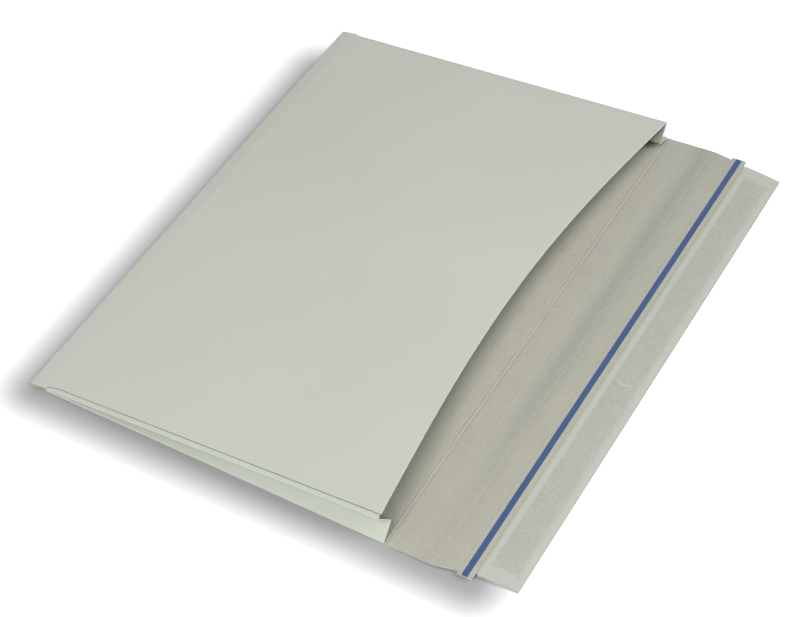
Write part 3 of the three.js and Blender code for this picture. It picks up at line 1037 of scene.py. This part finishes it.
def drape(point):
    """Height of the liner over the board: it lies on the glue and sinks beside it."""
    low, high = ADHESIVE_LOW, ADHESIVE_HIGH
    beside = max(low.x - point.x, point.x - high.x, low.y - point.y, point.y - high.y)
    share = min(1.0, max(0.0, beside / LINER_DRAPE))
    return mix(GLUE_THICKNESS + 2 * FILM_GAP, FILM_GAP, share)


def build_film(name, low, high, lift, thickness, taper=0.0):
    """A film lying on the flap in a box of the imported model, following the flap's curve."""
    cuts = [mix(low.x, high.x, step / FILM_STEPS) for step in range(1, FILM_STEPS)]
    piece = build_strip(name, low.x, high.x, cuts, [], FILM_COLUMNS)
    inset = low.y - NEAR_SIDE
    draw_in(piece, lambda x: inset + taper * (x - low.x) / (high.x - low.x))
    for vertex in piece.data.vertices:
        vertex.co.z += lift(vertex.co) + thickness
    finish_sheet(piece, thickness)
    return piece


# Operators, one for each piece or group of like pieces

class MAILER_OT_pocket(bpy.types.Operator):
    """Models the pocket: back, closed edge, front panel and both gussets"""

    bl_idname = "mailer.pocket"
    bl_label = "Pocket"

    def execute(self, context):
        parts = [build_wrap(), build_gusset("near"), build_gusset("far")]
        pocket = join_pieces(parts, "pocket")
        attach(pocket, "pocket")
        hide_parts("pocket_board")
        return {"FINISHED"}


class MAILER_OT_fold_beads(bpy.types.Operator):
    """Models the two crease beads, at the mouth crease and at the flap crease"""

    bl_idname = "mailer.fold_beads"
    bl_label = "Crease Beads"

    def execute(self, context):
        for name, x, bodies in (
            ("mouth_fold", MOUTH_CREASE, ("pocket", "wall")),
            ("flap_fold", FLAP_CREASE, ("wall", "flap")),
        ):
            groove = (x, SCORE_WIDTH, sizes().score_depth)
            bead = build_strip(name, x - HALF_SCORE, x + HALF_SCORE, score_cuts(x), [groove])
            draw_in(bead, flap_inset)
            finish_strip(bead)
            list(bodies)
            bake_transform(bead)
        return {"FINISHED"}


class MAILER_OT_depth_wall(bpy.types.Operator):
    """Models the wall between the mouth crease and the flap crease"""

    bl_idname = "mailer.depth_wall"
    bl_label = "Depth Wall"

    def execute(self, context):
        low, high = MOUTH_CREASE + HALF_SCORE, FLAP_CREASE - HALF_SCORE
        groove = (MIDDLE_SCORE, SCORE_WIDTH, sizes().score_depth)
        wall = build_strip("wall", low, high, score_cuts(MIDDLE_SCORE), [groove])
        finish_strip(wall)
        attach(wall, "wall")
        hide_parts("depth_wall")
        return {"FINISHED"}


class MAILER_OT_closure_flap(bpy.types.Operator):
    """Models the closing flap with its taper, perforations, tabs and notches"""

    bl_idname = "mailer.closure_flap"
    bl_label = "Closing Flap"

    def execute(self, context):
        low = FLAP_CREASE + HALF_SCORE
        tears = (TEAR_INNER, TEAR_OUTER)
        cuts = [mix(low, FLAP_END, step / FLAP_STEPS) for step in range(1, FLAP_STEPS)]
        cuts = [cut for cut in cuts if min(abs(cut - x) for x in tears) > PERFORATION_CLEARANCE]
        for x in tears:
            cuts += [x - PERFORATION_WIDTH / 2, x, x + PERFORATION_WIDTH / 2]
        cuts += [TEAR_OUTER + NOTCH_REACH, LINER_LOW.x]
        grooves = [(x, PERFORATION_WIDTH, PERFORATION_DEPTH) for x in tears]
        flap = build_strip("flap", low, FLAP_END, cuts, grooves)
        draw_in(flap, flap_inset)
        draw_out_tabs(flap)
        finish_strip(flap)
        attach(flap, "flap")
        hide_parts("closure_flap")
        return {"FINISHED"}


class MAILER_OT_films(bpy.types.Operator):
    """Models the tear tape, the seal glue and the liner over it"""

    bl_idname = "mailer.films"
    bl_label = "Tape, Glue and Liner"

    def execute(self, context):
        taper = SEAL_INSET_OUTER - SEAL_INSET_INNER
        tape = build_film("tape", TAPE_LOW, TAPE_HIGH, lambda p: FILM_GAP, TAPE_THICKNESS)
        glue = build_film(
            "seal_band", ADHESIVE_LOW, ADHESIVE_HIGH, lambda p: FILM_GAP, GLUE_THICKNESS
        )
        liner = build_film("liner", LINER_LOW, LINER_HIGH, drape, LINER_THICKNESS, taper)
        for piece, material, node, name in (
            (tape, "blue_tape", "tear_tape", "tear_tape"),
            (glue, "seal_glue", "adhesive_band", "adhesive"),
            (liner, "liner_paper", "release_liner", "liner"),
        ):
            give_materials(piece, [material])
            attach(piece, "flap")
            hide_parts(node)
        return {"FINISHED"}


def add_lamp(name, place, size, power, colour):
    bpy.ops.object.light_add(type="AREA", location=place)
    lamp = bpy.context.object
    lamp.name = name
    lamp.data.shape = "SQUARE"
    lamp.data.size = size
    lamp.data.energy = power
    lamp.data.color = colour
    lamp.rotation_euler = (-Vector(place)).to_track_quat("-Z", "Y").to_euler()


def white_behind(tree):
    """One for rays that see the background: straight from the camera, or in gloss and glass."""
    path = tree.nodes.new("ShaderNodeLightPath").outputs
    glossy = add_maths(tree, "ADD", path["Is Glossy Ray"], path["Is Transmission Ray"])
    return add_maths(
        tree, "MINIMUM", add_maths(tree, "ADD", path["Is Camera Ray"], glossy), 1.0
    )


def build_floor_material():
    """Pale floor that renders white, with a painted soft shadow along two of the sides, seen only
    by the camera.
    """
    tree, shader, place = start_material("pale_floor", 0.9, 0.0)
    spots = split(tree, place)
    # Painted shadow: only camera rays see the floor's grey, within the four sides.
    shade = tree.nodes.new("ShaderNodeLightPath").outputs["Is Camera Ray"]
    for axis, start, end in SHADE_SIDES:
        side = add_range(tree, spots[axis], start, end, blend="SMOOTHSTEP")
        shade = times(tree, side, shade)
    grey = linear(tuple(c * FLOOR_SHADE for c in colours().floor))
    colour = add_mix(tree, shade, linear(colours().floor), grey)
    tree.links.new(colour, shader.inputs["Base Color"])
    shader.inputs["Emission Color"].default_value = (1, 1, 1, 1)
    clear = add_maths(tree, "SUBTRACT", 1.0, shade)
    away = tree.nodes.new("ShaderNodeVectorMath")
    away.operation = "LENGTH"
    tree.links.new(place, away.inputs[0])
    strength = add_range(tree, away.outputs["Value"], GLOW_START, GLOW_END, FLOOR_GLOW, 1.0)
    glow = times(tree, white_behind(tree), strength)
    glow = times(tree, clear, glow)
    tree.links.new(glow, shader.inputs["Emission Strength"])


class MAILER_OT_stage(bpy.types.Operator):
    """Sets the floor, the soft studio light and the camera"""

    bl_idname = "mailer.stage"
    bl_label = "Stage"

    def execute(self, context):
        scene = context.scene
        scene.view_settings.view_transform = "Standard"
        bpy.ops.mesh.primitive_plane_add(size=FLOOR_SIZE, location=(0, 0, -FLOOR_DROP))
        floor = bpy.context.object
        floor.name = "floor"
        bpy.ops.object.transform_apply(location=True, rotation=False, scale=False)
        build_floor_material()
        give_materials(floor, ["pale_floor"])

        world = bpy.data.worlds.new("studio")
        scene.world = world
        world.use_nodes = True
        tree = world.node_tree
        background = tree.nodes["Background"]
        background.inputs["Color"].default_value = (1, 1, 1, 1)
        light = add_maths(tree, "MAXIMUM", white_behind(tree), WORLD_LIGHT)
        tree.links.new(light, background.inputs["Strength"])
        for lamp in LAMPS:
            add_lamp(*lamp)

        angles = (CAMERA_TURN, CAMERA_ELEVATION, CAMERA_ROLL)
        turn, elevation, roll = (math.radians(angle) for angle in angles)
        right = Vector((math.cos(turn), math.sin(turn), 0))
        level = Vector((-math.sin(turn), math.cos(turn), 0))
        forward = math.cos(elevation) * level - math.sin(elevation) * Vector((0, 0, 1))
        up = math.sin(elevation) * level + math.cos(elevation) * Vector((0, 0, 1))
        rolled_right = math.cos(roll) * right - math.sin(roll) * up
        rolled_up = math.sin(roll) * right + math.cos(roll) * up
        bpy.ops.object.camera_add(location=CAMERA_PLACE)
        camera = bpy.context.object
        camera.name = "camera"
        columns = Matrix((rolled_right, rolled_up, -forward)).transposed()
        camera.matrix_world = Matrix.Translation(CAMERA_PLACE) @ columns.to_4x4()
        camera.data.sensor_width = SENSOR_WIDTH
        camera.data.sensor_fit = "HORIZONTAL"
        camera.data.lens = CAMERA_FOCAL_PIXELS / PICTURE_WIDTH_PIXELS * SENSOR_WIDTH
        scene.camera = camera
        return {"FINISHED"}


OPERATORS = (
    MAILER_OT_stage,
    MAILER_OT_pocket,
    MAILER_OT_depth_wall,
    MAILER_OT_closure_flap,
    MAILER_OT_fold_beads,
    MAILER_OT_films,
)


class MAILER_PT_panel(bpy.types.Panel):
    """Lists the mailer's pieces, sizes and colours"""

    bl_label = "Mailer"
    bl_idname = "MAILER_PT_panel"
    bl_space_type = "VIEW_3D"
    bl_region_type = "UI"
    bl_category = "Mailer"

    def draw(self, context):
        for operator in OPERATORS:
            self.layout.operator(operator.bl_idname)
        for group in (context.scene.mailer_sizes, context.scene.mailer_colours):
            for name in group.__annotations__:
                self.layout.prop(group, name)


CLASSES = (MailerSizes, MailerColours, *OPERATORS, MAILER_PT_panel)


def register():
    for cls in CLASSES:
        bpy.utils.register_class(cls)
    bpy.types.Scene.mailer_sizes = bpy.props.PointerProperty(type=MailerSizes)
    bpy.types.Scene.mailer_colours = bpy.props.PointerProperty(type=MailerColours)


def unregister():
    del bpy.types.Scene.mailer_colours
    del bpy.types.Scene.mailer_sizes
    for cls in reversed(CLASSES):
        bpy.utils.unregister_class(cls)


def main():
    register()
    build_materials()
    bpy.ops.mailer.stage()
    bpy.ops.mailer.pocket()
    bpy.ops.mailer.depth_wall()
    bpy.ops.mailer.closure_flap()
    bpy.ops.mailer.fold_beads()
    bpy.ops.mailer.films()


if __name__ == "__main__":
    main()
